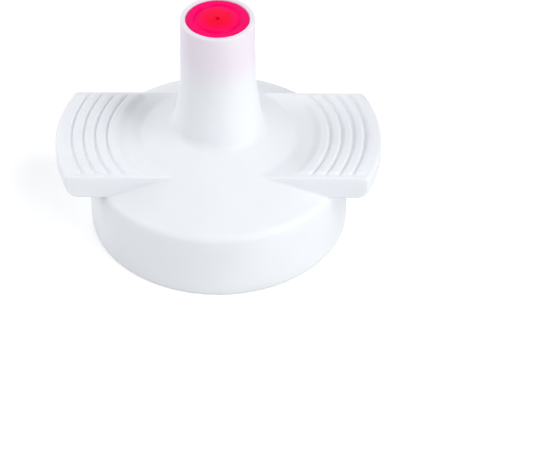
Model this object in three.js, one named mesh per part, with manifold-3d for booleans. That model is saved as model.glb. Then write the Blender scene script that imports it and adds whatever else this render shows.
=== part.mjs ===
// Take-apart, pressure-compensating drip emitter with a winged twist cap.
//
// Millimetres, +Z up. The origin is the centre of the circle that the skirt stands on, and the wings
// point along +X and -X. Water comes in at the socket under the base, goes through the strainer, pushes
// the diaphragm down on the labyrinth's toothed channel, runs round that channel into the space under
// the cap, and leaves through the seat, the nozzle tube and the hole in the coloured flow insert.
// A twist of the wings frees the cap from the base's three lugs, so that the inside can be rinsed.

import * as THREE from "three";
import { mergeVertices } from "three/addons/utils/BufferGeometryUtils.js";
import Module from "manifold-3d";

// ---------- Driving dimensions ----------

// Cap, outside
const SKIRT_RADIUS = 11.2;
const SKIRT_TOP = 6.25; // height where the straight wall would meet the cone
const SHOULDER_FILLET = 0.3; // rounding between the skirt and the cone
const CONE_RISE = 0.505; // height that the cone gains for each millimetre towards the axis
const TUBE_TOP = 20.8;
const TUBE_TIP_RADIUS = 3.1;
const TUBE_WAIST_RADIUS = 3.2;
const TUBE_WAIST_HEIGHT = 14.4; // below this the tube flares
const TUBE_NECK_RADIUS = 3.32;
const TUBE_NECK_HEIGHT = 13.4;
const TUBE_FOOT_RADIUS = 3.75; // where the flare meets the cone
const TUBE_FILLET = 0.5;
const TUBE_TIP_CHAMFER = 0.1;
const RIM_CHAMFER = 0.2; // round the lower edge of the skirt and of the base

// Wings
const WING_RADIUS = 14.0; // the wings' ends are arcs about the emitter's axis
const WING_HALF_WIDTH = 5.85;
const WING_BOTTOM = SKIRT_TOP; // the wings' underside runs straight out from the shoulder
const WING_TOP = 8.5;
const WING_LOWER_ROUND = 0.9;
const WING_UPPER_ROUND = 0.3;
const RIDGE_COUNT = 5;
const RIDGE_FIRST_RADIUS = 9.1;
const RIDGE_PITCH = 1.0;
const RIDGE_HALF_WIDTH = 0.37;
const RIDGE_HEIGHT = 0.25;
const RIDGE_ROUND = 0.2;
const RIDGE_HALF_LENGTH = 5.4; // ridges stop short of the wing's straight edges
const COVE_START = 7.98; // a hollow curve leads from here up to the first ridge
const COVE_RADIUS = 1.4;
const RIM_START = 13.35; // the last ridge slopes down from here to the wing's rim
const RIM_SLOPE = 40; // degrees

// Cap, inside
const SKIRT_BORE = 10.1;
const SEAL_BORE = 9.1; // the O-ring seals against this wall
const SEAL_STEP = 3.5; // height where the skirt's bore narrows to the seal bore
const ROOF_THICKNESS = 1.5; // measured upright, from the chamber's roof to the cone
const SEAT_OUTER = 2.9;
const CROWN_WIDTH = 0.6; // flat top of the chamber between the seat and the sloping roof
const SEAT_HEIGHT = 5.3; // the diaphragm rises to this ring
const NOZZLE_BORE = 2.0;
const INSERT_POCKET_RADIUS = 2.67;
const INSERT_POCKET_FLOOR = 16.7;

// Quarter-turn lock between the cap and the base
const LUG_COUNT = 3;
const LUG_ANGLE = 38; // degrees that each lug covers
const LUG_RADIUS = 9.8;
const LUG_BOTTOM = 2.7;
const LUG_TOP = 3.4;
const LEDGE_INNER = 9.2;
const LEDGE_BOTTOM = 1.7;
const LEDGE_TOP = 2.5;
const STOP_START = 39.5; // degrees; the stop keeps the cap from being turned past the lock
const STOP_END = 43.5;

// Base
const BASE_RADIUS = 9.95;
const BASE_THICKNESS = 1.2;
const SPIGOT_RADIUS = 8.9;
const SPIGOT_BORE = 7.9;
const SPIGOT_TOP = 4.9;
const SPIGOT_CHAMFER = 0.15;
const GROOVE_RADIUS = 8.3;
const GROOVE_BOTTOM = 3.7;
const GROOVE_TOP = 4.6;
const SOCKET_OUTER = 3.6;
const SOCKET_TOP = 4.0;
const SOCKET_BORE = 2.0;
const GROMMET_POCKET_RADIUS = 2.9;
const GROMMET_POCKET_TOP = 2.4;
const STRAINER_POCKET_RADIUS = 2.8;
const STRAINER_POCKET_FLOOR = 3.1;
const RECESS_INNER = 4.4;
const RECESS_OUTER = 9.0;
const RECESS_DEPTH = 0.5;
const RECESS_RIB_COUNT = 6;
const RECESS_RIB_ANGLE = 8; // degrees of rib between two recesses

// Pieces inside the base
const FIT_GAP = 0.1; // clearance round a piece that is pressed or dropped into another
const LABYRINTH_TOP = 4.25;
const LABYRINTH_RIM_TOP = 4.85;
const LABYRINTH_RIM_INNER = 7.0;
const LABYRINTH_WALL = 0.8;
const CHANNEL_INNER = 4.6;
const CHANNEL_OUTER = 6.6;
const CHANNEL_DEPTH = 0.7;
const CHANNEL_WALL_ANGLE = 12; // degrees of solid wall between the channel's two ends
const BAFFLE_COUNT = 34;
const BAFFLE_WIDTH = 0.32;
const BAFFLE_OVERLAP = 0.25; // how far each baffle reaches past the channel's middle
const PORT_WIDTH = 0.9;
const DIAPHRAGM_RADIUS = 6.85;
const DIAPHRAGM_BOTTOM = 4.3;
const DIAPHRAGM_THICKNESS = 0.7;
const DIAPHRAGM_CHAMFER = 0.15;
const STRAINER_THICKNESS = 0.7;
const STRAINER_SCREEN_RADIUS = 1.95;
const STRAINER_SLOT_COUNT = 6;
const STRAINER_SLOT_PITCH = 0.62;
const STRAINER_SLOT_WIDTH = 0.34;
const GROMMET_BOTTOM = 0.2; // the grommet's lip stands back from the inlet face
const GROMMET_HOLE = 1.75;
const GROMMET_LEAD_WIDTH = 0.45; // the cone that guides the supply tube in
const GROMMET_LEAD_HEIGHT = 0.7;
const GROMMET_EXIT_WIDTH = 0.3;
const GROMMET_EXIT_HEIGHT = 0.5;
const GROMMET_CHAMFER = 0.1;
const SEAL_HALF_WIDTH = 0.34; // the O-ring is squeezed, so its section is an oval
const SEAL_HALF_HEIGHT = 0.42;
const SEAL_SIDES = 10;

// Flow insert
const INSERT_FACE = 20.72;
const INSERT_EDGE = 0.08; // chamfer round the face
const INSERT_GROOVE_RADIUS = 1.9; // a shallow ring groove parts the face's rim from its middle
const INSERT_GROOVE_HALF_WIDTH = 0.16;
const INSERT_GROOVE_DEPTH = 0.14;
const INSERT_CROWN = 0.07; // the middle of the face rises by this much towards the hole
const INSERT_HOLE = 0.27;
const INSERT_BORE = 1.6;
const INSERT_BORE_TOP = 19.5;
const INSERT_LEAD_WIDTH = 0.2; // the chamfer that starts the insert in its pocket
const INSERT_LEAD_HEIGHT = 0.4;

// How far a joined shape reaches into its neighbour, so that the two become one body
const WELD = 0.2;
const SLOT_WELD = 0.01; // overlap of the strainer's two layers of slots

// How far a cutting shape reaches past the surface that it opens
const CLEAR = 1;

// Roundness
const BIG_SEGMENTS = 48; // round the cap and the base
const WING_SEGMENTS = 72;
const SMALL_SEGMENTS = 32; // round the pieces near the axis
const ARC_STEP = 6; // degrees in each facet of a part-ring

// ---------- Tools ----------

const wasm = await Module();
wasm.setup();

const MERGE_DISTANCE = 1e-5;

const radians = (angle) => (angle * Math.PI) / 180;
const degrees = (angle) => (angle * 180) / Math.PI;

// A closed three.js geometry as a manifold-3d solid, with the collapsed triangles at an axis dropped.
function solid(geometry) {
  const bare = geometry.clone();
  for (const name of Object.keys(bare.attributes)) {
    if (name !== "position") bare.deleteAttribute(name);
  }
  const merged = mergeVertices(bare, MERGE_DISTANCE);
  const triangles = [];
  for (let i = 0; i < merged.index.count; i += 3) {
    const corners = [0, 1, 2].map((k) => merged.index.getX(i + k));
    if (new Set(corners).size === 3) triangles.push(...corners);
  }
  return new wasm.Manifold(
    new wasm.Mesh({
      numProp: 3,
      vertProperties: merged.attributes.position.array,
      triVerts: new Uint32Array(triangles),
    }),
  );
}

// A profile of [radius, height] points turned about +Z. It runs anticlockwise, and a profile that
// stays off the axis is closed on its own first point.
function turned(profile, segments = BIG_SEGMENTS) {
  const points = profile.map(([r, z]) => new THREE.Vector2(r, z));
  if (profile[0][0] > 0) points.push(points[0].clone());
  const geometry = new THREE.LatheGeometry(points, segments);
  geometry.rotateX(Math.PI / 2);
  return solid(geometry);
}

// Points of an arc in the profile plane, from one angle in degrees to another.
function arc(r, z, radius, from, to, steps) {
  const points = [];
  for (let i = 0; i <= steps; i++) {
    const angle = radians(from + ((to - from) * i) / steps);
    points.push([r + radius * Math.cos(angle), z + radius * Math.sin(angle)]);
  }
  return points;
}

// Part of a flat ring between two angles in degrees.
function sector(inner, outer, low, high, start, end) {
  const shape = new THREE.Shape();
  shape.absarc(0, 0, outer, radians(start), radians(end), false);
  shape.absarc(0, 0, inner, radians(end), radians(start), true);
  const curveSegments = Math.max(3, Math.ceil((end - start) / ARC_STEP));
  const geometry = new THREE.ExtrudeGeometry(shape, {
    depth: high - low,
    bevelEnabled: false,
    curveSegments,
  });
  geometry.translate(0, 0, low);
  return solid(geometry);
}

// A box from its lowest to its highest corner, turned about +Z by an angle in degrees.
function block([x0, y0, z0], [x1, y1, z1], angle = 0) {
  const geometry = new THREE.BoxGeometry(x1 - x0, y1 - y0, z1 - z0);
  geometry.translate((x0 + x1) / 2, (y0 + y1) / 2, (z0 + z1) / 2);
  geometry.rotateZ(radians(angle));
  return solid(geometry);
}

const joined = (solids) => solids.reduce((sum, next) => sum.add(next));

// A named three.js mesh made from a finished solid.
function piece(name, shape, material) {
  const { vertProperties, triVerts } = shape.getMesh();
  const geometry = new THREE.BufferGeometry();
  geometry.setAttribute("position", new THREE.BufferAttribute(vertProperties, 3));
  geometry.setIndex(new THREE.BufferAttribute(triVerts, 1));
  geometry.computeVertexNormals();
  const mesh = new THREE.Mesh(geometry, material);
  mesh.name = name;
  return mesh;
}

// ---------- Winged cap ----------

const coneHeight = (radius) => SKIRT_TOP + CONE_RISE * (SKIRT_RADIUS - radius);

// Skirt, shoulder, cone and nozzle tube as one solid of revolution.
function bell() {
  const slope = (Math.atan(CONE_RISE) * 180) / Math.PI;
  const shoulderZ = SKIRT_TOP - SHOULDER_FILLET * Math.tan(radians((90 - slope) / 2));
  const shoulder = arc(SKIRT_RADIUS - SHOULDER_FILLET, shoulderZ, SHOULDER_FILLET, 0, 90 - slope, 4);
  const footR = TUBE_FOOT_RADIUS + TUBE_FILLET;
  const footZ = coneHeight(footR) + TUBE_FILLET / Math.cos(radians(slope));
  const foot = arc(footR, footZ, TUBE_FILLET, 270 - slope, 180, 3);
  return turned([
    [0, 0],
    [SKIRT_RADIUS - RIM_CHAMFER, 0],
    [SKIRT_RADIUS, RIM_CHAMFER],
    ...shoulder,
    ...foot,
    [TUBE_NECK_RADIUS, TUBE_NECK_HEIGHT],
    [TUBE_WAIST_RADIUS, TUBE_WAIST_HEIGHT],
    [TUBE_TIP_RADIUS, TUBE_TOP - TUBE_TIP_CHAMFER],
    [TUBE_TIP_RADIUS - TUBE_TIP_CHAMFER, TUBE_TOP],
    [0, TUBE_TOP],
  ]);
}

// The flat bar that makes both wings, with rounded ends, before the ridges.
function wingBar() {
  const rim = WING_RADIUS;
  const lower = arc(rim - WING_LOWER_ROUND, WING_BOTTOM + WING_LOWER_ROUND, WING_LOWER_ROUND, -90, 0, 4);
  const upper = arc(rim - WING_UPPER_ROUND, WING_TOP - WING_UPPER_ROUND, WING_UPPER_ROUND, 0, 90, 2);
  const disc = turned([[0, WING_BOTTOM], ...lower, ...upper, [0, WING_TOP]], WING_SEGMENTS);
  const reach = WING_RADIUS + CLEAR;
  return disc.intersect(
    block([-reach, -WING_HALF_WIDTH, WING_BOTTOM - CLEAR], [reach, WING_HALF_WIDTH, WING_TOP + CLEAR]),
  );
}

// One ridge's section, round at its inner shoulder and, unless it is the rim, at its outer one too.
function ridgeSection(radius, isRim) {
  const root = WING_TOP - WELD;
  const crest = WING_TOP + RIDGE_HEIGHT;
  const inner = radius - RIDGE_HALF_WIDTH;
  const outer = radius + RIDGE_HALF_WIDTH;
  const slope = [
    [RIM_START + (crest - root) / Math.tan(radians(RIM_SLOPE)), root],
    [RIM_START, crest],
  ];
  const shoulder = [[outer, root], ...arc(outer - RIDGE_ROUND, crest - RIDGE_ROUND, RIDGE_ROUND, 0, 90, 3)];
  return [
    [inner, root],
    ...(isRim ? slope : shoulder),
    ...arc(inner + RIDGE_ROUND, crest - RIDGE_ROUND, RIDGE_ROUND, 90, 180, 2),
  ];
}

// The hollow curve that leads from the wing's top up to the first ridge's crest.
function coveSection() {
  const end = 270 + degrees(Math.acos(1 - RIDGE_HEIGHT / COVE_RADIUS));
  return [
    [COVE_START, WING_TOP - WELD],
    [RIDGE_FIRST_RADIUS, WING_TOP - WELD],
    [RIDGE_FIRST_RADIUS, WING_TOP + RIDGE_HEIGHT],
    ...arc(COVE_START, WING_TOP + COVE_RADIUS, COVE_RADIUS, end, 270, 4),
  ];
}

// Concentric grip ridges on top of both wings, with the cove before the first. The last is the rim.
function gripRidges() {
  const ridges = [turned(coveSection(), WING_SEGMENTS)];
  for (let i = 0; i < RIDGE_COUNT; i++) {
    const section = ridgeSection(RIDGE_FIRST_RADIUS + i * RIDGE_PITCH, i === RIDGE_COUNT - 1);
    ridges.push(turned(section, WING_SEGMENTS));
  }
  const reach = WING_RADIUS + CLEAR;
  const strip = block([-reach, -RIDGE_HALF_LENGTH, 0], [reach, RIDGE_HALF_LENGTH, TUBE_TOP]);
  return joined(ridges).intersect(strip);
}

// The space inside the cap, from the skirt's open underside to the roof and round the seat.
function chamber() {
  const roof = (radius) => coneHeight(radius) - ROOF_THICKNESS;
  const crownRadius = SEAT_OUTER + CROWN_WIDTH;
  return turned([
    [0, -CLEAR],
    [SKIRT_BORE, -CLEAR],
    [SKIRT_BORE, SEAL_STEP],
    [SEAL_BORE, SEAL_STEP],
    [SEAL_BORE, roof(SEAL_BORE)],
    [crownRadius, roof(crownRadius)],
    [SEAT_OUTER, roof(crownRadius)],
    [SEAT_OUTER, SEAT_HEIGHT],
    [0, SEAT_HEIGHT],
  ]);
}

// The bore of the nozzle tube and the pocket at its tip for the flow insert.
function nozzleBore() {
  return turned([
    [0, SEAT_HEIGHT - CLEAR],
    [NOZZLE_BORE, SEAT_HEIGHT - CLEAR],
    [NOZZLE_BORE, INSERT_POCKET_FLOOR],
    [INSERT_POCKET_RADIUS, INSERT_POCKET_FLOOR],
    [INSERT_POCKET_RADIUS, TUBE_TOP + CLEAR],
    [0, TUBE_TOP + CLEAR],
  ]);
}

// The ledges inside the skirt that hook under the base's lugs, each with its end stop.
function lockLedges() {
  const ledges = [];
  const wall = SKIRT_BORE + WELD;
  for (let i = 0; i < LUG_COUNT; i++) {
    const turn = (i * 360) / LUG_COUNT;
    const end = turn + STOP_END;
    ledges.push(sector(LEDGE_INNER, wall, LEDGE_BOTTOM, LEDGE_TOP, turn, end));
    ledges.push(sector(LEDGE_INNER, wall, LEDGE_BOTTOM, SEAL_STEP + WELD, turn + STOP_START, end));
  }
  return joined(ledges);
}

function wingedCap() {
  const outside = bell().add(wingBar()).add(gripRidges());
  return outside.subtract(chamber()).add(lockLedges()).subtract(nozzleBore());
}

// ---------- Flow insert ----------

// A plug with a ring groove in its face and one small hole, hollow from below.
function flowInsert() {
  const radius = INSERT_POCKET_RADIUS - FIT_GAP;
  const bottom = INSERT_POCKET_FLOOR + FIT_GAP;
  return turned(
    [
      [INSERT_BORE, bottom],
      [radius - INSERT_LEAD_WIDTH, bottom],
      [radius, bottom + INSERT_LEAD_HEIGHT],
      [radius, INSERT_FACE - INSERT_EDGE],
      [radius - INSERT_EDGE, INSERT_FACE],
      [INSERT_GROOVE_RADIUS + INSERT_GROOVE_HALF_WIDTH, INSERT_FACE],
      [INSERT_GROOVE_RADIUS, INSERT_FACE - INSERT_GROOVE_DEPTH],
      [INSERT_GROOVE_RADIUS - INSERT_GROOVE_HALF_WIDTH, INSERT_FACE],
      [INSERT_HOLE, INSERT_FACE + INSERT_CROWN],
      [INSERT_HOLE, INSERT_BORE_TOP],
      [INSERT_BORE, INSERT_BORE_TOP],
    ],
    SMALL_SEGMENTS,
  );
}

// ---------- Base ----------

// Floor, spigot and inlet socket as one solid of revolution.
function baseBody() {
  return turned([
    [GROMMET_POCKET_RADIUS, 0],
    [BASE_RADIUS - RIM_CHAMFER, 0],
    [BASE_RADIUS, RIM_CHAMFER],
    [BASE_RADIUS, BASE_THICKNESS],
    [SPIGOT_RADIUS, BASE_THICKNESS],
    [SPIGOT_RADIUS, GROOVE_BOTTOM],
    [GROOVE_RADIUS, GROOVE_BOTTOM],
    [GROOVE_RADIUS, GROOVE_TOP],
    [SPIGOT_RADIUS, GROOVE_TOP],
    [SPIGOT_RADIUS - SPIGOT_CHAMFER, SPIGOT_TOP],
    [SPIGOT_BORE, SPIGOT_TOP],
    [SPIGOT_BORE, BASE_THICKNESS],
    [SOCKET_OUTER, BASE_THICKNESS],
    [SOCKET_OUTER, SOCKET_TOP],
    [STRAINER_POCKET_RADIUS, SOCKET_TOP],
    [STRAINER_POCKET_RADIUS, STRAINER_POCKET_FLOOR],
    [SOCKET_BORE, STRAINER_POCKET_FLOOR],
    [SOCKET_BORE, GROMMET_POCKET_TOP],
    [GROMMET_POCKET_RADIUS, GROMMET_POCKET_TOP],
  ]);
}

function basePlate() {
  let base = baseBody();
  for (let i = 0; i < LUG_COUNT; i++) {
    const turn = (i * 360) / LUG_COUNT;
    const root = SPIGOT_RADIUS - WELD;
    base = base.add(sector(root, LUG_RADIUS, LUG_BOTTOM, LUG_TOP, turn, turn + LUG_ANGLE));
  }
  for (let i = 0; i < RECESS_RIB_COUNT; i++) {
    const start = (i * 360) / RECESS_RIB_COUNT + RECESS_RIB_ANGLE / 2;
    const end = start + 360 / RECESS_RIB_COUNT - RECESS_RIB_ANGLE;
    base = base.subtract(sector(RECESS_INNER, RECESS_OUTER, -CLEAR, RECESS_DEPTH, start, end));
  }
  return base;
}

// ---------- Pieces inside ----------

// A squeezed O-ring in the spigot's groove.
function sealRing() {
  const middleR = (GROOVE_RADIUS + SEAL_BORE) / 2;
  const middleZ = (GROOVE_BOTTOM + GROOVE_TOP) / 2;
  const section = [];
  for (let i = 0; i < SEAL_SIDES; i++) {
    const angle = radians((360 * i) / SEAL_SIDES);
    section.push([
      middleR + SEAL_HALF_WIDTH * Math.cos(angle),
      middleZ + SEAL_HALF_HEIGHT * Math.sin(angle),
    ]);
  }
  return turned(section);
}

// A ring with a toothed channel in its top, cored out from below, and a rim round the diaphragm.
function labyrinthDisc() {
  const inner = SOCKET_OUTER + FIT_GAP;
  const outer = SPIGOT_BORE - FIT_GAP;
  const bottom = BASE_THICKNESS + FIT_GAP;
  const floor = LABYRINTH_TOP - CHANNEL_DEPTH;
  const coreTop = floor - LABYRINTH_WALL;
  let disc = turned([
    [inner, bottom],
    [inner + LABYRINTH_WALL, bottom],
    [inner + LABYRINTH_WALL, coreTop],
    [outer - LABYRINTH_WALL, coreTop],
    [outer - LABYRINTH_WALL, bottom],
    [outer, bottom],
    [outer, LABYRINTH_RIM_TOP],
    [LABYRINTH_RIM_INNER, LABYRINTH_RIM_TOP],
    [LABYRINTH_RIM_INNER, LABYRINTH_TOP],
    [inner, LABYRINTH_TOP],
  ]);
  const start = CHANNEL_WALL_ANGLE / 2;
  const end = 360 - start;
  disc = disc.subtract(sector(CHANNEL_INNER, CHANNEL_OUTER, floor, LABYRINTH_TOP + CLEAR, start, end));

  const middle = (CHANNEL_INNER + CHANNEL_OUTER) / 2;
  const pitch = (end - start) / (BAFFLE_COUNT + 1);
  const half = BAFFLE_WIDTH / 2;
  for (let i = 1; i <= BAFFLE_COUNT; i++) {
    const fromOutside = i % 2 === 0;
    const low = fromOutside ? middle - BAFFLE_OVERLAP : CHANNEL_INNER - WELD;
    const high = fromOutside ? CHANNEL_OUTER + WELD : middle + BAFFLE_OVERLAP;
    const angle = start + i * pitch;
    disc = disc.add(block([low, -half, floor - WELD], [high, half, LABYRINTH_TOP], angle));
  }

  const port = PORT_WIDTH / 2;
  const portAngle = start + pitch / 2;
  const inlet = block(
    [inner - CLEAR, -port, floor],
    [CHANNEL_INNER + WELD, port, LABYRINTH_TOP + CLEAR],
    portAngle,
  );
  const outlet = block(
    [CHANNEL_OUTER - WELD, -port, floor],
    [outer + CLEAR, port, LABYRINTH_RIM_TOP + CLEAR],
    -portAngle,
  );
  return disc.subtract(inlet).subtract(outlet);
}

function diaphragm() {
  const top = DIAPHRAGM_BOTTOM + DIAPHRAGM_THICKNESS;
  return turned([
    [0, DIAPHRAGM_BOTTOM],
    [DIAPHRAGM_RADIUS - DIAPHRAGM_CHAMFER, DIAPHRAGM_BOTTOM],
    [DIAPHRAGM_RADIUS, DIAPHRAGM_BOTTOM + DIAPHRAGM_CHAMFER],
    [DIAPHRAGM_RADIUS, top - DIAPHRAGM_CHAMFER],
    [DIAPHRAGM_RADIUS - DIAPHRAGM_CHAMFER, top],
    [0, top],
  ]);
}

// A disc whose lower slots run along X and upper slots along Y, so that they cross as a screen.
function inletStrainer() {
  const radius = STRAINER_POCKET_RADIUS - FIT_GAP;
  const bottom = STRAINER_POCKET_FLOOR + FIT_GAP;
  const top = bottom + STRAINER_THICKNESS;
  const middle = (bottom + top) / 2;
  const disc = turned([[0, bottom], [radius, bottom], [radius, top], [0, top]], SMALL_SEGMENTS);
  const lower = [];
  const upper = [];
  for (let i = 0; i < STRAINER_SLOT_COUNT; i++) {
    const offset = (i - (STRAINER_SLOT_COUNT - 1) / 2) * STRAINER_SLOT_PITCH;
    const near = offset - STRAINER_SLOT_WIDTH / 2;
    const far = offset + STRAINER_SLOT_WIDTH / 2;
    lower.push(block([-radius, near, bottom - CLEAR], [radius, far, middle + SLOT_WELD]));
    upper.push(block([near, -radius, middle - SLOT_WELD], [far, radius, top + CLEAR]));
  }
  const screen = turned(
    [
      [0, bottom - CLEAR],
      [STRAINER_SCREEN_RADIUS, bottom - CLEAR],
      [STRAINER_SCREEN_RADIUS, top + CLEAR],
      [0, top + CLEAR],
    ],
    SMALL_SEGMENTS,
  );
  return disc.subtract(joined([...lower, ...upper]).intersect(screen));
}

// A rubber sleeve with a lead-in and a rounded lip, in the socket's mouth.
function inletGrommet() {
  const radius = GROMMET_POCKET_RADIUS - FIT_GAP;
  const top = GROMMET_POCKET_TOP - FIT_GAP;
  return turned(
    [
      [GROMMET_HOLE + GROMMET_LEAD_WIDTH, GROMMET_BOTTOM],
      [radius - GROMMET_CHAMFER, GROMMET_BOTTOM],
      [radius, GROMMET_BOTTOM + GROMMET_CHAMFER],
      [radius, top],
      [GROMMET_HOLE + GROMMET_EXIT_WIDTH, top],
      [GROMMET_HOLE, top - GROMMET_EXIT_HEIGHT],
      [GROMMET_HOLE, GROMMET_BOTTOM + GROMMET_LEAD_HEIGHT],
    ],
    SMALL_SEGMENTS,
  );
}

// ---------- Materials and assembly ----------

const whitePlastic = new THREE.MeshStandardMaterial({ color: 0xf1f3f7, roughness: 0.32, metalness: 0 });
const basePlastic = new THREE.MeshStandardMaterial({ color: 0xe6e9ee, roughness: 0.38, metalness: 0 });
const redPlastic = new THREE.MeshStandardMaterial({ color: 0xee0c55, roughness: 0.3, metalness: 0 });
const innerPlastic = new THREE.MeshStandardMaterial({ color: 0x2b2d31, roughness: 0.45, metalness: 0 });
const silicone = new THREE.MeshStandardMaterial({ color: 0xd9d4c6, roughness: 0.6, metalness: 0 });
const blackRubber = new THREE.MeshStandardMaterial({ color: 0x17181a, roughness: 0.7, metalness: 0 });

const cap = new THREE.Group();
cap.add(piece("winged_cap", wingedCap(), whitePlastic));
cap.add(piece("flow_insert", flowInsert(), redPlastic));

const base = new THREE.Group();
base.add(piece("base_plate", basePlate(), basePlastic));
base.add(piece("labyrinth_disc", labyrinthDisc(), innerPlastic));
base.add(piece("inlet_strainer", inletStrainer(), innerPlastic));
base.add(piece("inlet_grommet", inletGrommet(), blackRubber));
base.add(piece("seal_ring", sealRing(), blackRubber));

const emitter = new THREE.Group();
emitter.add(cap);
emitter.add(base);
emitter.add(piece("diaphragm", diaphragm(), silicone));

export default emitter;
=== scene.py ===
"""The looks of a take-apart drip emitter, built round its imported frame.

Every moulding is described as a distance field in millimetres: how far a point is from the surface,
negative inside. Plain forms are joined and cut with rounded edges, as a mould maker would break them, and
each field is then skinned with a mesh whose points lie on its surface.
"""

import math

import bpy
import numpy as np
from mathutils import Matrix, Vector


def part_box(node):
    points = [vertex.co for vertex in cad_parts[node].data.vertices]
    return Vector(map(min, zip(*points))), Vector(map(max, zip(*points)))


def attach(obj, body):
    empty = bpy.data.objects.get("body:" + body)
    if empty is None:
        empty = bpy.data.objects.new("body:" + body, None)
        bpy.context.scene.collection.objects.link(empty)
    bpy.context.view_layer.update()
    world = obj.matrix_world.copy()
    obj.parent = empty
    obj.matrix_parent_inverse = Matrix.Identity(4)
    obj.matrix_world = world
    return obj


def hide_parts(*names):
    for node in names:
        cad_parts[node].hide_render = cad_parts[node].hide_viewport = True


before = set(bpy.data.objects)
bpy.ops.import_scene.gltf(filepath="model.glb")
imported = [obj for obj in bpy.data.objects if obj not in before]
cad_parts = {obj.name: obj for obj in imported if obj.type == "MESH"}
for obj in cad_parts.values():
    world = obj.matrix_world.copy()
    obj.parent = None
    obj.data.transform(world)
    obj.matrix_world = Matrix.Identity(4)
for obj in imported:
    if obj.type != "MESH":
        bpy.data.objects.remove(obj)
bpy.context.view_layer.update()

MM = 0.001

# ---------- Sizes, in millimetres ----------


def top_of(node):
    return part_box(node)[1][2] / MM


def bottom_of(node):
    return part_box(node)[0][2] / MM


def radius_of(node, axis=1):
    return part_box(node)[1][axis] / MM


# Cap, outside
WING_RADIUS = radius_of("winged_cap", 0)
SKIRT_RADIUS = radius_of("winged_cap")
TUBE_TOP = top_of("winged_cap")
SKIRT_TOP = 6.25  # where the skirt's wall would meet the cone
SHOULDER_ROUND = 0.42
CONE_RISE = 0.505  # height that the cone gains for each millimetre towards the axis
CONE_COS = 1 / math.hypot(1, CONE_RISE)
TUBE_TIP_RADIUS = 3.1
TUBE_DRAFT = 0.014  # radius that the tube gains for each millimetre down from its tip
FLARE_START = 14.4  # below this the tube widens faster
FLARE_DRAFT = 0.132
FLARE_BLEND = 0.35  # length over which the flare sets in
TUBE_FILLET = 0.4

# Wings
WING_HALF_WIDTH = 5.85
WING_BOTTOM = SKIRT_TOP
WING_TOP = 8.5
WING_LOWER_ROUND = 0.9
WING_UPPER_ROUND = 0.35
RIDGE_RADII = [9.1 + i for i in range(5)]
RIDGE_HALF_WIDTH = 0.37
RIDGE_HEIGHT = 0.22
RIDGE_ROUND = 0.2
RIDGE_HALF_LENGTH = 5.4
RIDGE_ROOT = WING_TOP - 0.6  # the ridges reach down to here, inside the wing
COVE_START = 7.98  # the wing's top curves up from here to the first ridge
COVE_RADIUS = 1.4
RIM_START = 13.35  # the last ridge is the wing's rim, and slopes away from here
RIM_SLOPE = math.radians(40)
RIM_RADIUS = 13.85

# Cap, inside
SKIRT_BORE = 10.1
SEAL_BORE = 9.1
SEAL_STEP = 3.5
ROOF_THICKNESS = 1.5
ROOF_CROWN = 8.64
SEAT_OUTER = 2.9
SEAT_HEIGHT = 5.3
NOZZLE_BORE = 2.0
BORE_REACH_UP = 0.5  # how far the bore's form runs into the pocket above it
BORE_REACH_DOWN = 1  # and out of the seat below it
POCKET_RADIUS = 2.67
POCKET_FLOOR = 16.7

# Twist lock, angles in degrees
LUG_COUNT = 3
LUG_PITCH = 360 / LUG_COUNT
LUG_ANGLE = 38
LUG_RADIUS = 9.8
LUG_BOTTOM = 2.7
LUG_TOP = 3.4
LEDGE_INNER = 9.2
LEDGE_BOTTOM = 1.7
LEDGE_TOP = 2.5
STOP_START = 39.5
STOP_END = 43.5
STOP_TOP = SEAL_STEP + 1  # inside the cap's wall

# Flow insert
INSERT_RADIUS = 2.63
INSERT_FACE = 20.72
INSERT_BOTTOM = bottom_of("flow_insert")
INSERT_CROWN = 0.07  # the face rises by this much towards its middle
INSERT_CROWN_RADIUS = 1.74
INSERT_GROOVE_RADIUS = 1.9
INSERT_GROOVE_ROUND = 0.17  # radius of the groove's section, whose centre stands just over the face
INSERT_GROOVE_LIFT = 0.02
INSERT_BORE = 1.6
INSERT_BORE_TOP = 19.5
INSERT_HOLE = 0.18

# Base
BASE_RADIUS = radius_of("base_plate")
BASE_THICKNESS = 1.2
SPIGOT_RADIUS = 8.9
SPIGOT_BORE = 7.9
SPIGOT_TOP = top_of("base_plate")
LUG_ROOT = SPIGOT_BORE + 0.3  # the lugs reach in to here, inside the spigot's wall
SEAL_GROOVE_RADIUS = 8.3
SEAL_GROOVE_BOTTOM = 3.7
SEAL_GROOVE_TOP = 4.6
SOCKET_OUTER = 3.6
SOCKET_TOP = 4.0
SOCKET_BORE = 2.0
GROMMET_SEAT_RADIUS = 2.9
GROMMET_SEAT_TOP = 2.4
STRAINER_SEAT_RADIUS = 2.8
STRAINER_SEAT_BOTTOM = 3.1
WALL_ROOT = 0.2  # the spigot and the socket reach down to here, inside the floor
RIB_COUNT = 3  # ribs that run right across the underside
RIB_HALF_WIDTH = 0.42
RECESS_INNER = 4.4
RECESS_OUTER = 9.0
RECESS_DEPTH = 0.5

# Inlet grommet
GROMMET_RADIUS = 2.8
GROMMET_BOTTOM = 0.2
GROMMET_TOP = 2.3
GROMMET_HOLE = 1.75
GROMMET_WAIST_HEIGHT = 1.35  # the hole widens from here to both ends
GROMMET_FLARE = 0.16  # gain in radius half a millimetre from the waist
GROMMET_MOUTH = 2.25

# Inlet strainer
STRAINER_BOTTOM = bottom_of("inlet_strainer")
STRAINER_TOP = top_of("inlet_strainer")
STRAINER_MIDDLE = (STRAINER_BOTTOM + STRAINER_TOP) / 2
STRAINER_RADIUS = 2.7
STRAINER_SCREEN_RADIUS = 1.95
SLOT_PITCH = 0.62
SLOT_HALF_WIDTH = 0.17
SLOT_OVERLAP = 0.01

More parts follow.
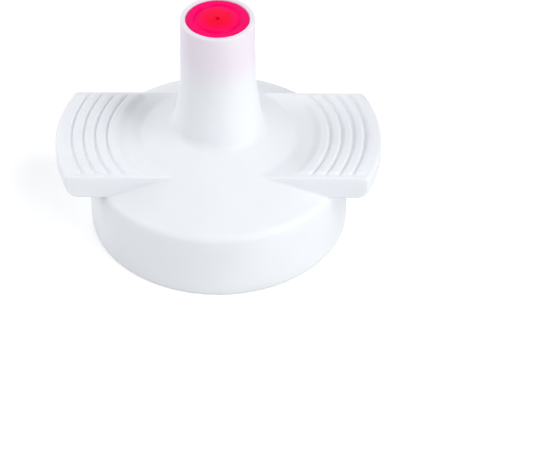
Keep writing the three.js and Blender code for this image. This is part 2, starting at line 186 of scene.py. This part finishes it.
# Labyrinth disc, angles in degrees
LABYRINTH_INNER = 3.7
LABYRINTH_OUTER = 7.8
LABYRINTH_BOTTOM = bottom_of("labyrinth_disc")
LABYRINTH_TOP = 4.25
LABYRINTH_RIM_INNER = 7.0
LABYRINTH_RIM_TOP = top_of("labyrinth_disc")
LABYRINTH_HOLLOW_INNER = 4.5
LABYRINTH_HOLLOW_TOP = 2.75
CHANNEL_FLOOR = 3.55
CHANNEL_INNER = 4.6
CHANNEL_OUTER = 6.6
CHANNEL_MIDDLE = (CHANNEL_INNER + CHANNEL_OUTER) / 2
CHANNEL_START = 6  # the channel runs all round except this far either side of +X
TOOTH_SPACES = 35
TOOTH_PITCH = (360 - 2 * CHANNEL_START) / TOOTH_SPACES
TOOTH_HALF_WIDTH = 0.16
TOOTH_OVERLAP = 0.25  # each tooth reaches this far past the channel's middle
PORT_HALF_WIDTH = 0.45
INLET_PORT = (2, 4.8)  # from the disc's hole into the channel, along the port
OUTLET_PORT = (6.4, 9)  # from the channel out past the disc's edge

# Diaphragm
DIAPHRAGM_RADIUS = radius_of("diaphragm")
DIAPHRAGM_BOTTOM = bottom_of("diaphragm")
DIAPHRAGM_TOP = top_of("diaphragm")

# Seal ring, whose section is an oval
SEAL_RADIUS = 8.7
SEAL_HEIGHT = 4.15
SEAL_HALF_WIDTH = 0.34
SEAL_HALF_HEIGHT = 0.42
SEAL_SCALE = 0.36  # turns the oval's ratio into about a distance

# ---------- Distance fields ----------


def meet(a, b, edge=0.0):
    """Inside both forms, with the edge between them rounded."""
    corner = np.hypot(np.maximum(a + edge, 0), np.maximum(b + edge, 0))
    return np.minimum(-edge, np.maximum(a, b)) + corner


def fuse(a, b, fillet=0.0):
    """Inside either form, with a fillet between them."""
    corner = np.hypot(np.maximum(fillet - a, 0), np.maximum(fillet - b, 0))
    return np.maximum(fillet, np.minimum(a, b)) - corner


def carve(a, b, edge=0.0):
    """Inside a and outside b."""
    return meet(a, -b, edge)


def slab(value, low, high):
    """Between two parallel planes."""
    return np.maximum(low - value, value - high)


def wedge(x, y, start, end):
    """Between two half planes through the axis, less than half a turn apart, angles in degrees."""
    a, b = math.radians(start), math.radians(end)
    return np.maximum(x * math.sin(a) - y * math.cos(a), y * math.cos(b) - x * math.sin(b))


def wedge_outside(x, y, angle):
    """Outside the narrow wedge that reaches angle degrees either side of +X."""
    return -np.maximum(wedge(x, y, -angle, angle), -x)


def across_ray(x, y, angle):
    """Distance from the upright plane through the axis at an angle in degrees."""
    return x * math.sin(math.radians(angle)) - y * math.cos(math.radians(angle))


def along_ray(x, y, angle):
    """Distance out from the axis along an angle in degrees."""
    return x * math.cos(math.radians(angle)) + y * math.sin(math.radians(angle))


def cone_above(r, z, lift=0.0):
    """Height over the cap's cone, measured square to it."""
    return (z - lift - SKIRT_TOP - CONE_RISE * (SKIRT_RADIUS - r)) * CONE_COS


def tube_radius(z):
    above = FLARE_START - z
    flare = FLARE_DRAFT * 0.5 * (above + np.hypot(above, FLARE_BLEND))
    return TUBE_TIP_RADIUS + TUBE_DRAFT * (TUBE_TOP - z) + flare


def wing_form(r, y, z):
    """A bar with flat-topped rings on it. A cove leads up to the first, and the last is the wing's rim."""
    bar = meet(r - WING_RADIUS, WING_BOTTOM - z, edge=WING_LOWER_ROUND)
    bar = meet(bar, z - WING_TOP, edge=WING_UPPER_ROUND)
    bar = meet(bar, np.abs(y) - WING_HALF_WIDTH, edge=0.14)

    over_crest = z - WING_TOP - RIDGE_HEIGHT
    ends = np.maximum(np.abs(y) - RIDGE_HALF_LENGTH, RIDGE_ROOT - z)
    nearest = np.min([np.abs(r - radius) for radius in RIDGE_RADII[:-1]], axis=0)
    rings = meet(nearest - RIDGE_HALF_WIDTH, over_crest, edge=RIDGE_ROUND)
    over_slope = (r - RIM_START) * math.sin(RIM_SLOPE) + over_crest * math.cos(RIM_SLOPE)
    rim = meet(RIDGE_RADII[-1] - RIDGE_HALF_WIDTH - r, over_crest, edge=RIDGE_ROUND)
    rim = meet(meet(rim, over_slope, edge=0.2), r - RIM_RADIUS, edge=0.1)
    bar = fuse(bar, meet(fuse(rings, rim), ends, edge=0.2), fillet=0.13)

    cove = COVE_RADIUS - np.hypot(r - COVE_START, z - WING_TOP - COVE_RADIUS)
    cove = meet(meet(cove, over_crest, edge=0.08), slab(r, COVE_START, RIDGE_RADII[0]))
    return fuse(bar, meet(cove, ends, edge=0.2))


def lock_hook(x, y, r, z, turn):
    """One ledge of the twist lock with its end stop, which reach in from the cap's wall."""
    ledge = meet(slab(z, LEDGE_BOTTOM, LEDGE_TOP), wedge(x, y, turn, turn + STOP_END), edge=0.1)
    stop = wedge(x, y, turn + STOP_START, turn + STOP_END)
    stop = meet(slab(z, LEDGE_BOTTOM, STOP_TOP), stop, edge=0.1)
    return meet(fuse(ledge, stop, fillet=0.15), LEDGE_INNER - r, edge=0.12)


def cap_space(x, y, r, z):
    """Everything that is hollow in the cap."""
    skirt = meet(r - SKIRT_BORE, z - SEAL_STEP, edge=0.15)
    seal = meet(r - SEAL_BORE, cone_above(r, z, -ROOF_THICKNESS), edge=0.35)
    seal = meet(seal, z - ROOF_CROWN, edge=0.25)
    space = fuse(skirt, seal, fillet=0.12)
    seat = meet(r - SEAT_OUTER, SEAT_HEIGHT - z, edge=0.15)
    space = carve(space, seat, edge=0.3)
    for i in range(LUG_COUNT):
        space = carve(space, lock_hook(x, y, r, z, LUG_PITCH * i), edge=0.1)
    bore = meet(r - NOZZLE_BORE, z - POCKET_FLOOR - BORE_REACH_UP)
    bore = meet(bore, SEAT_HEIGHT - BORE_REACH_DOWN - z)
    pocket = meet(r - POCKET_RADIUS, POCKET_FLOOR - z, edge=0.1)
    return fuse(space, fuse(bore, pocket))


def cap_field(x, y, z):
    r = np.hypot(x, y)
    bell = meet(r - SKIRT_RADIUS, cone_above(r, z), edge=SHOULDER_ROUND)
    bell = meet(bell, -z, edge=0.18)
    bell = fuse(bell, meet(r - tube_radius(z), z - TUBE_TOP, edge=0.12), fillet=TUBE_FILLET)
    body = fuse(bell, wing_form(r, y, z), fillet=0.12)
    return carve(body, cap_space(x, y, r, z), edge=0.1)


def insert_field(x, y, z):
    r = np.hypot(x, y)
    face = INSERT_FACE + INSERT_CROWN * np.maximum(1 - r / INSERT_CROWN_RADIUS, 0)
    plug = meet(r - INSERT_RADIUS, z - face, edge=0.09)
    plug = meet(plug, INSERT_BOTTOM - z, edge=0.25)
    groove = np.hypot(r - INSERT_GROOVE_RADIUS, z - INSERT_FACE - INSERT_GROOVE_LIFT) - INSERT_GROOVE_ROUND
    plug = carve(plug, groove, edge=0.04)
    plug = carve(plug, meet(r - INSERT_BORE, z - INSERT_BORE_TOP, edge=0.2), edge=0.1)
    return carve(plug, r - INSERT_HOLE, edge=0.08)


def base_field(x, y, z):
    r = np.hypot(x, y)
    floor = meet(meet(r - BASE_RADIUS, -z, edge=0.2), z - BASE_THICKNESS, edge=0.1)

    spigot = meet(r - SPIGOT_RADIUS, z - SPIGOT_TOP, edge=0.2)
    spigot = meet(spigot, SPIGOT_BORE - r, edge=0.1)
    groove = meet(slab(z, SEAL_GROOVE_BOTTOM, SEAL_GROOVE_TOP), SEAL_GROOVE_RADIUS - r, edge=0.1)
    spigot = carve(spigot, groove, edge=0.06)
    for i in range(LUG_COUNT):
        sides = wedge(x, y, LUG_PITCH * i, LUG_PITCH * i + LUG_ANGLE)
        lug = meet(slab(z, LUG_BOTTOM, LUG_TOP), sides, edge=0.12)
        lug = meet(lug, r - LUG_RADIUS, edge=0.12)
        spigot = fuse(spigot, meet(lug, LUG_ROOT - r), fillet=0.12)

    socket = meet(r - SOCKET_OUTER, z - SOCKET_TOP, edge=0.15)
    walls = fuse(meet(spigot, WALL_ROOT - z), meet(socket, WALL_ROOT - z))
    base = fuse(floor, walls, fillet=0.2)

    ribs = [np.abs(across_ray(x, y, 180 / RIB_COUNT * i)) for i in range(RIB_COUNT)]
    ribs = np.min(ribs, axis=0) - RIB_HALF_WIDTH
    recess = meet(slab(r, RECESS_INNER, RECESS_OUTER), z - RECESS_DEPTH, edge=0.15)
    base = carve(base, meet(recess, -ribs, edge=0.2), edge=0.1)

    hole = meet(r - GROMMET_SEAT_RADIUS, z - GROMMET_SEAT_TOP, edge=0.1)
    hole = fuse(hole, r - SOCKET_BORE, fillet=0.05)
    hole = fuse(hole, meet(r - STRAINER_SEAT_RADIUS, STRAINER_SEAT_BOTTOM - z, edge=0.05))
    return carve(base, hole, edge=0.12)


def grommet_field(x, y, z):
    r = np.hypot(x, y)
    sleeve = meet(r - GROMMET_RADIUS, GROMMET_BOTTOM - z, edge=0.12)
    sleeve = meet(sleeve, z - GROMMET_TOP, edge=0.1)
    hole = GROMMET_HOLE + GROMMET_FLARE * ((z - GROMMET_WAIST_HEIGHT) / 0.5) ** 2
    return carve(sleeve, r - np.minimum(hole, GROMMET_MOUTH), edge=0.12)


def slots(value):
    """Straight slots, side by side."""
    return np.abs(value % SLOT_PITCH - SLOT_PITCH / 2) - SLOT_HALF_WIDTH


def strainer_field(x, y, z):
    r = np.hypot(x, y)
    disc = meet(r - STRAINER_RADIUS, STRAINER_BOTTOM - z, edge=0.08)
    disc = meet(disc, z - STRAINER_TOP, edge=0.08)
    low = meet(slots(y), z - STRAINER_MIDDLE - SLOT_OVERLAP)
    high = meet(slots(x), STRAINER_MIDDLE - SLOT_OVERLAP - z)
    screen = meet(np.minimum(low, high), r - STRAINER_SCREEN_RADIUS, edge=0.05)
    return carve(disc, screen, edge=0.06)


def channel_field(x, y, r, z):
    """The labyrinth's channel, which teeth from both sides turn into a zigzag."""
    angle = np.degrees(np.arctan2(y, x)) % 360
    channel = meet(slab(r, CHANNEL_INNER, CHANNEL_OUTER), CHANNEL_FLOOR - z, edge=0.06)
    channel = meet(channel, wedge_outside(x, y, CHANNEL_START))
    step = (angle - CHANNEL_START) / TOOTH_PITCH
    for nearby in (np.floor(step), np.ceil(step)):
        number = np.clip(nearby, 1, TOOTH_SPACES - 1)
        offset = np.radians(angle - CHANNEL_START - number * TOOTH_PITCH)
        along, across = r * np.cos(offset), r * np.sin(offset)
        past_middle = np.where(number % 2 == 0, CHANNEL_MIDDLE - along, along - CHANNEL_MIDDLE)
        tooth = meet(np.abs(across) - TOOTH_HALF_WIDTH, past_middle - TOOTH_OVERLAP, edge=0.1)
        channel = carve(channel, tooth, edge=0.03)
    return channel


def labyrinth_field(x, y, z):
    r = np.hypot(x, y)
    disc = meet(slab(r, LABYRINTH_INNER, LABYRINTH_OUTER), LABYRINTH_BOTTOM - z, edge=0.1)
    disc = meet(disc, z - LABYRINTH_RIM_TOP, edge=0.1)
    disc = carve(disc, meet(r - LABYRINTH_RIM_INNER, LABYRINTH_TOP - z, edge=0.05), edge=0.05)
    hollow = slab(r, LABYRINTH_HOLLOW_INNER, LABYRINTH_RIM_INNER)
    disc = carve(disc, meet(hollow, z - LABYRINTH_HOLLOW_TOP, edge=0.2), edge=0.1)
    disc = carve(disc, channel_field(x, y, r, z), edge=0.04)

    port = CHANNEL_START + TOOTH_PITCH / 2
    inlet = slab(along_ray(x, y, port), *INLET_PORT)
    inlet = meet(np.abs(across_ray(x, y, port)) - PORT_HALF_WIDTH, inlet)
    outlet = slab(along_ray(x, y, -port), *OUTLET_PORT)
    outlet = meet(np.abs(across_ray(x, y, -port)) - PORT_HALF_WIDTH, outlet)
    ports = meet(np.minimum(inlet, outlet), CHANNEL_FLOOR - z, edge=0.05)
    return carve(disc, ports, edge=0.05)


def seal_field(x, y, z):
    across = (np.hypot(x, y) - SEAL_RADIUS) / SEAL_HALF_WIDTH
    up = (z - SEAL_HEIGHT) / SEAL_HALF_HEIGHT
    return (np.hypot(across, up) - 1) * SEAL_SCALE


def diaphragm_field(x, y, z):
    r = np.hypot(x, y)
    disc = meet(r - DIAPHRAGM_RADIUS, DIAPHRAGM_BOTTOM - z, edge=0.14)
    return meet(disc, z - DIAPHRAGM_TOP, edge=0.14)


# ---------- Skinning a field ----------

CORNERS = [(i, j, k) for i in (0, 1) for j in (0, 1) for k in (0, 1)]
EDGES = [(a, b) for a in range(8) for b in range(a + 1, 8) if bin(a ^ b).count("1") == 1]


def both_sides(start, end, step):
    """A band of grid places on each side of the middle."""
    return (start, end, step), (-end, -start, step)


def ticks(low, high, coarse, *bands):
    """Grid places from low to high, closer together inside each (start, end, step) band."""
    places = [low]
    while places[-1] < high:
        here = places[-1]
        places.append(here + min([coarse] + [step for start, end, step in bands if start <= here < end]))
    return np.array(places)


def slope_of(field, points, reach=0.003):
    """The field's gradient at each point."""
    columns = []
    for axis in range(3):
        step = np.zeros(3)
        step[axis] = reach
        columns.append((field(*(points + step).T) - field(*(points - step).T)) / (2 * reach))
    return np.stack(columns, axis=1)


def settle(field, points, rounds=4, most=0.12):
    """Moves the points onto the surface, each by no more than a set distance in all."""
    start = points.copy()
    for _ in range(rounds):
        slope = slope_of(field, points)
        pull = field(*points.T) / np.maximum((slope**2).sum(axis=1), 0.05)
        points = points - slope * pull[:, None]
        moved = points - start
        length = np.linalg.norm(moved, axis=1)
        points = start + moved * np.minimum(1, most / np.maximum(length, 1e-9))[:, None]
    return points


def even_out(field, points, faces, rounds=4):
    """Moves each point halfway to the middle of its neighbours, then back onto the surface."""
    start = faces.ravel()
    end = np.roll(faces, -1, axis=1).ravel()
    neighbours = np.bincount(start, minlength=len(points))
    for _ in range(rounds):
        middle = np.stack([np.bincount(start, points[end, n], len(points)) for n in range(3)], axis=1)
        points = settle(field, (points + middle / neighbours[:, None]) / 2)
    return points


def skin(name, field, xs, ys, zs):
    """A mesh object over the field's surface: one point in each grid cell that the surface crosses, and a
    four-sided face round each grid edge that it crosses."""
    flat_x, flat_y = np.meshgrid(xs, ys, indexing="ij")
    values = np.stack([field(flat_x, flat_y, np.full_like(flat_x, z)) for z in zs], axis=2)
    inside = values < 0

    nx, ny, nz = (len(places) - 1 for places in (xs, ys, zs))
    count = sum(inside[i : i + nx, j : j + ny, k : k + nz].astype(np.int8) for i, j, k in CORNERS)
    cells = np.argwhere((count > 0) & (count < 8))
    number = np.full((nx, ny, nz), -1)
    number[tuple(cells.T)] = np.arange(len(cells))

    corner_values = np.stack([values[tuple((cells + corner).T)] for corner in CORNERS], axis=1)
    corner_places = []
    for corner in CORNERS:
        i, j, k = (cells + corner).T
        corner_places.append(np.stack([xs[i], ys[j], zs[k]], axis=1))
    corner_places = np.stack(corner_places, axis=1)
    total = np.zeros((len(cells), 3))
    crossings = np.zeros(len(cells))
    for a, b in EDGES:
        first, second = corner_values[:, a], corner_values[:, b]
        crossed = (first < 0) != (second < 0)
        share = np.where(crossed, first / np.where(crossed, first - second, 1), 0)[:, None]
        total += crossed[:, None] * (corner_places[:, a] * (1 - share) + corner_places[:, b] * share)
        crossings += crossed
    points = settle(field, total / crossings[:, None])

    faces = []
    for axis in range(3):
        u, v = (axis + 1) % 3, (axis + 2) % 3
        low = [slice(None)] * 3
        high = [slice(None)] * 3
        low[axis], high[axis] = slice(None, -1), slice(1, None)
        edges = np.argwhere(inside[tuple(low)] != inside[tuple(high)])
        leaving = inside[tuple(edges.T)]
        ring = []
        for du, dv in ((-1, -1), (0, -1), (0, 0), (-1, 0)):
            cell = edges.copy()
            cell[:, u] += du
            cell[:, v] += dv
            ring.append(number[tuple(cell.T)])
        ring = np.stack(ring, axis=1)
        ring[~leaving] = ring[~leaving][:, ::-1]
        faces.append(ring)
    faces = np.concatenate(faces)
    points = even_out(field, points, faces)

    mesh = bpy.data.meshes.new(name)
    mesh.from_pydata(points * MM, [], faces)
    mesh.shade_smooth()
    normals = slope_of(field, points)
    normals /= np.linalg.norm(normals, axis=1)[:, None]
    mesh.normals_split_custom_set_from_vertices(normals)
    mesh.validate()
    piece = bpy.data.objects.new(name, mesh)
    bpy.context.scene.collection.objects.link(piece)
    return piece


def skin_round(name, field, reach, step, zs):
    """Skins a form about the axis, on a grid with the same places from side to side as from front to back."""
    span = ticks(-reach, reach, step)
    return skin(name, field, span, span, zs)


# ---------- Pieces ----------

# A grid reaches a little past its piece on every side. Its steps are shorter where the form is finer.


def make_cap():
    wide = WING_RADIUS + 0.4
    deep = SKIRT_RADIUS + 0.4
    tube = (-3.4, 3.4, 0.18)
    wings = both_sides(6.8, 14.1, 0.1)
    wing_edges = both_sides(5, 6, 0.1)
    foot = (-0.3, 0.2, 0.1)
    shoulder = (5.8, 6.6, 0.14)
    ridges = (8.2, 9.0, 0.09)
    tip = (20.3, 21, 0.07)
    xs = ticks(-wide, wide, 0.24, *wings, tube)
    ys = ticks(-deep, deep, 0.22, *wing_edges, tube)
    zs = ticks(-0.27, TUBE_TOP + 0.3, 0.24, foot, shoulder, ridges, tip)
    return skin("moulded_cap", cap_field, xs, ys, zs)


def make_insert():
    face = (20.3, 21, 0.05)
    zs = ticks(INSERT_BOTTOM - 0.23, INSERT_FACE + 0.3, 0.16, face)
    return skin_round("red_flow_insert", insert_field, reach=2.9, step=0.07, zs=zs)


def make_base():
    return skin_round("moulded_base", base_field, reach=10.2, step=0.2, zs=ticks(-0.27, 5.2, 0.15))


def make_grommet():
    return skin_round("inlet_sleeve", grommet_field, reach=3.1, step=0.11, zs=ticks(-0.03, 2.6, 0.09))


def make_strainer():
    zs = ticks(STRAINER_BOTTOM - 0.13, STRAINER_TOP + 0.15, 0.05)
    return skin_round("inlet_screen", strainer_field, reach=2.93, step=0.05, zs=zs)


def make_labyrinth():
    return skin_round("turbulence_disc", labyrinth_field, reach=8.1, step=0.12, zs=ticks(1.07, 5.1, 0.12))


def make_seal():
    return skin_round("cap_o_ring", seal_field, reach=9.3, step=0.17, zs=ticks(3.6, 4.7, 0.11))


def make_diaphragm():
    return skin_round("rubber_diaphragm", diaphragm_field, reach=7.1, step=0.2, zs=ticks(4.13, 5.2, 0.09))


# ---------- Materials ----------


def shader(name, color, roughness, **sockets):
    """A material with a Principled shader, and its nodes ready to be joined."""
    material = bpy.data.materials.new(name)
    material.use_nodes = True
    tree = material.node_tree
    main = tree.nodes["Principled BSDF"]
    main.inputs["Base Color"].default_value = (*color, 1)
    main.inputs["Roughness"].default_value = roughness
    for socket, value in sockets.items():
        main.inputs[socket.replace("_", " ")].default_value = value
    return material, tree, main


def place_in(tree):
    """The shaded point in the piece's own space."""
    return tree.nodes.new("ShaderNodeTexCoord").outputs["Object"]


def noise(tree, per_mm, detail):
    """A noise of a set number of bumps per millimetre, in the piece's own space."""
    node = tree.nodes.new("ShaderNodeTexNoise")
    node.inputs["Scale"].default_value = per_mm / MM
    node.inputs["Detail"].default_value = detail
    tree.links.new(place_in(tree), node.inputs["Vector"])
    return node.outputs["Fac"]


def remap(tree, value, low, high, to_low, to_high):
    node = tree.nodes.new("ShaderNodeMapRange")
    node.interpolation_type = "SMOOTHSTEP"
    for socket, number in zip(("From Min", "From Max", "To Min", "To Max"), (low, high, to_low, to_high)):
        node.inputs[socket].default_value = number
    tree.links.new(value, node.inputs["Value"])
    return node.outputs["Result"]


def mottle(tree, per_mm, detail, low=0, high=1):
    """Soft patches between two values."""
    return remap(tree, noise(tree, per_mm, detail), 0.3, 0.7, low, high)


def blend(tree, factor, first, second):
    """A colour between two, each a socket or a plain colour."""
    node = tree.nodes.new("ShaderNodeMix")
    node.data_type = "RGBA"
    tree.links.new(factor, node.inputs["Factor"])
    for socket, color in ((node.inputs[6], first), (node.inputs[7], second)):
        if isinstance(color, tuple):
            socket.default_value = (*color, 1)
        else:
            tree.links.new(color, socket)
    return node.outputs[2]


def bump(tree, main, height, depth_mm, strength=0.5):
    node = tree.nodes.new("ShaderNodeBump")
    node.inputs["Distance"].default_value = depth_mm * MM
    node.inputs["Strength"].default_value = strength
    tree.links.new(height, node.inputs["Height"])
    tree.links.new(node.outputs["Normal"], main.inputs["Normal"])


def split(tree):
    """The three coordinates of the shaded point."""
    node = tree.nodes.new("ShaderNodeSeparateXYZ")
    tree.links.new(place_in(tree), node.inputs[0])
    return node.outputs


# Painted glow: the red insert's light, which shines through the tube's translucent wall, is painted into the
# tube's colour as a pink tint, from none at the first height to all at the second.
PAINTED_GLOW_START = 14.6
PAINTED_GLOW_END = 18.6


def cap_plastic():
    material, tree, main = shader(
        "cap_plastic",
        color=(0.80, 0.83, 0.89),
        roughness=0.3,
        Subsurface_Weight=0.35,
        Subsurface_Radius=(1.0, 1.0, 1.1),
        Subsurface_Scale=0.0012,
        IOR=1.49,
    )
    height = split(tree)[2]
    # Painted glow: the tube turns pink towards its tip, standing in for the insert's red light coming through
    # the wall.
    painted_glow = remap(tree, height, PAINTED_GLOW_START * MM, PAINTED_GLOW_END * MM, 0, 1)
    cloud = mottle(tree, per_mm=0.18, detail=3)
    white = blend(tree, cloud, (0.80, 0.82, 0.855), (0.82, 0.84, 0.875))
    white_and_painted_glow = blend(tree, painted_glow, white, (0.83, 0.76, 0.86))
    tree.links.new(white_and_painted_glow, main.inputs["Base Color"])
    tree.links.new(mottle(tree, per_mm=1.1, detail=4, low=0.46, high=0.54), main.inputs["Roughness"])
    bump(tree, main, noise(tree, per_mm=3.5, detail=3), depth_mm=0.006)
    return material


def base_plastic():
    material, tree, main = shader(
        "base_plastic",
        color=(0.76, 0.79, 0.84),
        roughness=0.38,
        Subsurface_Weight=0.3,
        Subsurface_Radius=(1.0, 1.0, 1.1),
        Subsurface_Scale=0.001,
    )
    tree.links.new(mottle(tree, per_mm=1.3, detail=4, low=0.33, high=0.44), main.inputs["Roughness"])
    cloud = mottle(tree, per_mm=0.2, detail=3)
    tree.links.new(blend(tree, cloud, (0.75, 0.78, 0.83), (0.78, 0.81, 0.86)), main.inputs["Base Color"])
    bump(tree, main, noise(tree, per_mm=4, detail=3), depth_mm=0.008)
    return material


# The insert is a purer red inside the first radius, and bluer outside the second.
RED_CORE = 0.7
RED_RIM = 2.1


def red_plastic():
    material, tree, main = shader(
        "insert_plastic",
        color=(0.95, 0.0, 0.12),
        roughness=0.3,
        Subsurface_Weight=0.2,
        Subsurface_Radius=(1.0, 0.15, 0.2),
        Subsurface_Scale=0.0008,
        Specular_IOR_Level=0.04,
    )
    x, y = split(tree)[:2]
    length = tree.nodes.new("ShaderNodeVectorMath")
    length.operation = "LENGTH"
    flat = tree.nodes.new("ShaderNodeCombineXYZ")
    tree.links.new(x, flat.inputs[0])
    tree.links.new(y, flat.inputs[1])
    tree.links.new(flat.outputs[0], length.inputs[0])
    ring = remap(tree, length.outputs["Value"], RED_CORE * MM, RED_RIM * MM, 0, 1)
    tree.links.new(blend(tree, ring, (0.95, 0.0, 0.04), (0.96, 0.0, 0.15)), main.inputs["Base Color"])
    tree.links.new(mottle(tree, per_mm=2, detail=3, low=0.29, high=0.36), main.inputs["Roughness"])
    bump(tree, main, noise(tree, per_mm=5, detail=2), depth_mm=0.006)
    return material


def dark_plastic():
    material, tree, main = shader("inner_plastic", color=(0.03, 0.032, 0.038), roughness=0.42)
    tree.links.new(mottle(tree, per_mm=2, detail=3, low=0.36, high=0.5), main.inputs["Roughness"])
    bump(tree, main, noise(tree, per_mm=5, detail=3), depth_mm=0.01)
    return material


def black_rubber():
    material, tree, main = shader("black_rubber", color=(0.018, 0.018, 0.02), roughness=0.65)
    dust = remap(tree, noise(tree, per_mm=0.9, detail=4), 0.45, 0.8, 0, 1)
    tree.links.new(blend(tree, dust, (0.016, 0.016, 0.018), (0.045, 0.045, 0.048)), main.inputs["Base Color"])
    bump(tree, main, noise(tree, per_mm=8, detail=3), depth_mm=0.012, strength=0.6)
    return material


def silicone():
    material, tree, main = shader(
        "silicone",
        color=(0.7, 0.67, 0.58),
        roughness=0.55,
        Subsurface_Weight=0.5,
        Subsurface_Radius=(1.0, 0.9, 0.7),
        Subsurface_Scale=0.0012,
    )
    cloud = mottle(tree, per_mm=0.5, detail=3)
    tree.links.new(blend(tree, cloud, (0.68, 0.65, 0.56), (0.74, 0.71, 0.63)), main.inputs["Base Color"])
    bump(tree, main, noise(tree, per_mm=6, detail=2), depth_mm=0.008)
    return material


# ---------- Assembly ----------


def assemble():
    inner, rubber = dark_plastic(), black_rubber()
    parts = [
        (make_cap, "winged_cap", "cap", "cap_plastic", cap_plastic()),
        (make_insert, "flow_insert", "cap", "insert_plastic", red_plastic()),
        (make_base, "base_plate", "base", "base_plastic", base_plastic()),
        (make_labyrinth, "labyrinth_disc", "base", "inner_plastic", inner),
        (make_strainer, "inlet_strainer", "base", "inner_plastic", inner),
        (make_grommet, "inlet_grommet", "base", "black_rubber", rubber),
        (make_seal, "seal_ring", "base", "black_rubber", rubber),
        (make_diaphragm, "diaphragm", "diaphragm", "silicone", silicone()),
    ]
    for make, node, body, slot, material in parts:
        piece = make()
        piece.data.materials.append(material)
        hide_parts(node)
        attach(piece, body)


# ---------- Floor, light and camera ----------


FLOOR_SIZE = 4
FLOOR_HEIGHT = -0.00002  # a hair under the skirt
FLOOR_GLOW = 0.35


def make_floor():
    """A pale floor that glows a little to the camera alone, so that the ground looks white."""
    bpy.ops.mesh.primitive_plane_add(size=FLOOR_SIZE)
    floor = bpy.context.object
    floor.name = "floor"
    floor.location.z = FLOOR_HEIGHT
    material, tree, main = shader("floor", color=(0.76, 0.765, 0.77), roughness=0.6)
    main.inputs["Emission Color"].default_value = (1, 1, 1, 1)
    seen = tree.nodes.new("ShaderNodeLightPath").outputs["Is Camera Ray"]
    tree.links.new(remap(tree, seen, 0, 1, 0, FLOOR_GLOW), main.inputs["Emission Strength"])
    tree.links.new(mottle(tree, per_mm=0.02, detail=2, low=0.55, high=0.65), main.inputs["Roughness"])
    floor.data.materials.append(material)


# Name, place in metres and power in watts of each softbox
LAMPS = [
    ("high_key", (0.266, -0.107, 0.418), 0.68),
    ("low_key", (0.328, -0.328, 0.195), 1.0),
    ("left_fill", (-0.464, 0, 0.195), 0.75),
    ("back_left_fill", (-0.328, 0.328, 0.195), 0.44),
    ("back_fill", (0, 0.464, 0.195), 0.14),
]
LAMP_SIZE = 0.22
LAMP_TARGET = Vector((0, 0, 0.008))
SKY_STRENGTH = 0.5


def add_light(name, place, power):
    """A round softbox that faces the emitter."""
    data = bpy.data.lights.new(name, "AREA")
    data.shape = "DISK"
    data.size = LAMP_SIZE
    data.energy = power
    lamp = bpy.data.objects.new(name, data)
    lamp.location = place
    lamp.rotation_euler = (LAMP_TARGET - Vector(place)).to_track_quat("-Z", "Y").to_euler()
    bpy.context.scene.collection.objects.link(lamp)


def light_scene():
    world = bpy.data.worlds.new("studio")
    bpy.context.scene.world = world
    world.use_nodes = True
    sky = world.node_tree.nodes["Background"]
    sky.inputs["Color"].default_value = (0.985, 0.99, 1.0, 1)
    sky.inputs["Strength"].default_value = SKY_STRENGTH
    for name, place, power in LAMPS:
        add_light(name, place, power)
    bpy.context.scene.view_settings.view_transform = "Standard"


# The camera stands in front and looks down, angles in degrees, with a long lens. It rolls a little, and is
# turned a little about the nozzle tube.
CAMERA_PLACE = (4.94 * MM, -156.6 * MM, 135.28 * MM)
CAMERA_PITCH = 41.2
CAMERA_ROLL = 0.67
CAMERA_TURN = -0.68
CAMERA_LENS = 153.4


def make_camera():
    data = bpy.data.cameras.new("camera")
    data.lens = CAMERA_LENS
    data.sensor_width = 36
    data.clip_start = 0.01
    data.clip_end = 10
    camera = bpy.data.objects.new("camera", data)
    tilt = Matrix.Rotation(math.radians(90 - CAMERA_PITCH), 4, "X")
    roll = Matrix.Rotation(math.radians(CAMERA_ROLL), 4, "Z")
    turn = Matrix.Rotation(math.radians(CAMERA_TURN), 4, "Z")
    camera.matrix_world = turn @ Matrix.Translation(CAMERA_PLACE) @ tilt @ roll
    bpy.context.scene.collection.objects.link(camera)
    bpy.context.scene.camera = camera


assemble()
make_floor()
light_scene()
make_camera()
